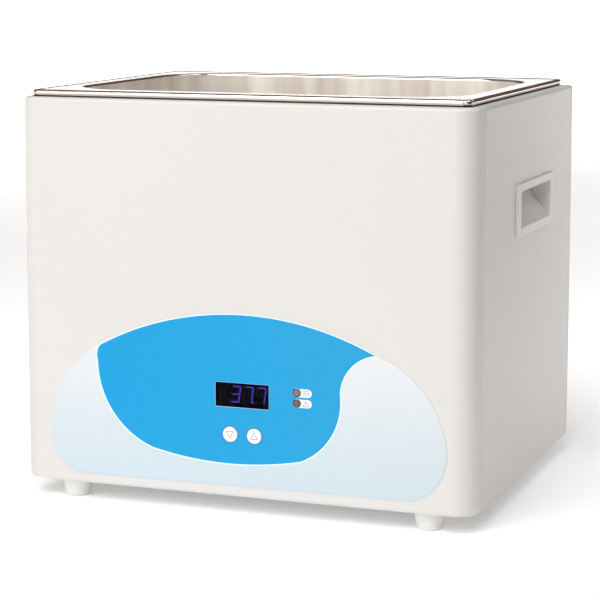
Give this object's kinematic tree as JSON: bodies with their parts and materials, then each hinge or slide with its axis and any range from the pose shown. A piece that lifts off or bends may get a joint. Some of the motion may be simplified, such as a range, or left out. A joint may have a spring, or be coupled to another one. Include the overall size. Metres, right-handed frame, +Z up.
{
  "type": "water bath",
  "caption": "Bench-top laboratory water bath: wrapped steel casing on feet, hung stainless tank with rolled rim, side grips and a curved front label with digital display and keys.",
  "frame": {"origin": "on the supporting surface, under the middle of the casing", "axes": "+Z up, front panel faces -Y, +X to the right of someone facing the front"},
  "size_m": [0.364, 0.2956, 0.3118],
  "materials": {
    "casing_paint": "fine satin powder coat",
    "stainless_steel": "satin",
    "zinc_plate": "satin",
    "gasket_rubber": "matte",
    "grip_plastic": "fine moulded texture",
    "foot_plastic": "satin",
    "label_film": "printed film, satin gloss",
    "smoked_window": "gloss",
    "black_plastic": "satin",
    "lit_segment": "lit",
    "heater_lamp_lens": "gloss",
    "alarm_lamp_lens": "gloss",
    "key_white": "satin",
    "circuit_board": "solder mask",
    "transformer_core": "lacquered",
    "terminal_green": "satin",
    "silicone_mat": "matte",
    "ceramic_body": "matte",
    "insulation": "fibre felt",
    "contact_metal": "bright",
    "rocker_plastic": "gloss",
    "fuse_glass": "gloss",
    "earth_brass": "satin",
    "dark_lead": "satin",
    "white_lead": "satin",
    "ribbon_grey": "satin"
  },
  "bodies": {
    "bath": {"outer_case": "casing_paint", "back_panel": "casing_paint", "base_plate": "zinc_plate", "tank": "stainless_steel", "rim_gasket": "gasket_rubber", "tank_nuts": "zinc_plate", "grip_right": "grip_plastic", "grip_left": "grip_plastic", "foot_front_left": "foot_plastic", "foot_front_right": "foot_plastic", "foot_rear_left": "foot_plastic", "foot_rear_right": "foot_plastic", "foot_screws": "zinc_plate", "foot_nuts": "zinc_plate", "back_panel_screws": "zinc_plate", "base_plate_screws": "zinc_plate", "front_label": "label_film", "display_window": "smoked_window", "display_module": "black_plastic", "digit_segments": "lit_segment", "heater_lamp": "heater_lamp_lens", "alarm_lamp": "alarm_lamp_lens", "key_switches": "black_plastic", "control_board": "circuit_board", "board_standoffs": "zinc_plate", "board_screws": "zinc_plate", "power_board": "circuit_board", "transformer": "transformer_core", "heater_relay": "black_plastic", "terminal_block": "terminal_green", "heater_mat": "silicone_mat", "heater_plate": "zinc_plate", "heater_nuts": "zinc_plate", "thermal_cutout": "ceramic_body", "temperature_probe": "stainless_steel", "probe_clip": "zinc_plate", "insulation_jacket": "insulation", "mains_inlet": "black_plastic", "inlet_pins": "contact_metal", "inlet_screws": "zinc_plate", "switch_housing": "black_plastic", "earth_stud": "earth_brass", "mains_lead": "dark_lead", "heater_lead": "white_lead", "probe_lead": "dark_lead", "ribbon_cable": "ribbon_grey"},
    "shelf": {"base_shelf": "stainless_steel", "shelf_legs": "stainless_steel"},
    "down_key": {"down_key": "key_white"},
    "up_key": {"up_key": "key_white"},
    "rocker": {"power_rocker": "rocker_plastic"},
    "fuse_drawer": {"fuse_drawer": "black_plastic", "fuses": "fuse_glass"}
  },
  "joints": [
    {"name": "shelf_lift", "type": "slide", "parent": "bath", "child": "shelf", "axis": [0, 0, 1], "range_m": [0, 0.165]},
    {"name": "down_key_press", "type": "slide", "parent": "bath", "child": "down_key", "axis": [0, 1, 0], "range_m": [0, 0.0005], "stiffness_N_per_m": 2000},
    {"name": "up_key_press", "type": "slide", "parent": "bath", "child": "up_key", "axis": [0, 1, 0], "range_m": [0, 0.0005], "stiffness_N_per_m": 2000},
    {"name": "rocker_tilt", "type": "hinge", "parent": "bath", "child": "rocker", "pos_m": [-0.06, 0.1443, 0.066], "axis": [1, 0, 0], "range_deg": [-20, 0]},
    {"name": "fuse_drawer_pull", "type": "slide", "parent": "bath", "child": "fuse_drawer", "axis": [0, 1, 0], "range_m": [0, 0.022]}
  ]
}
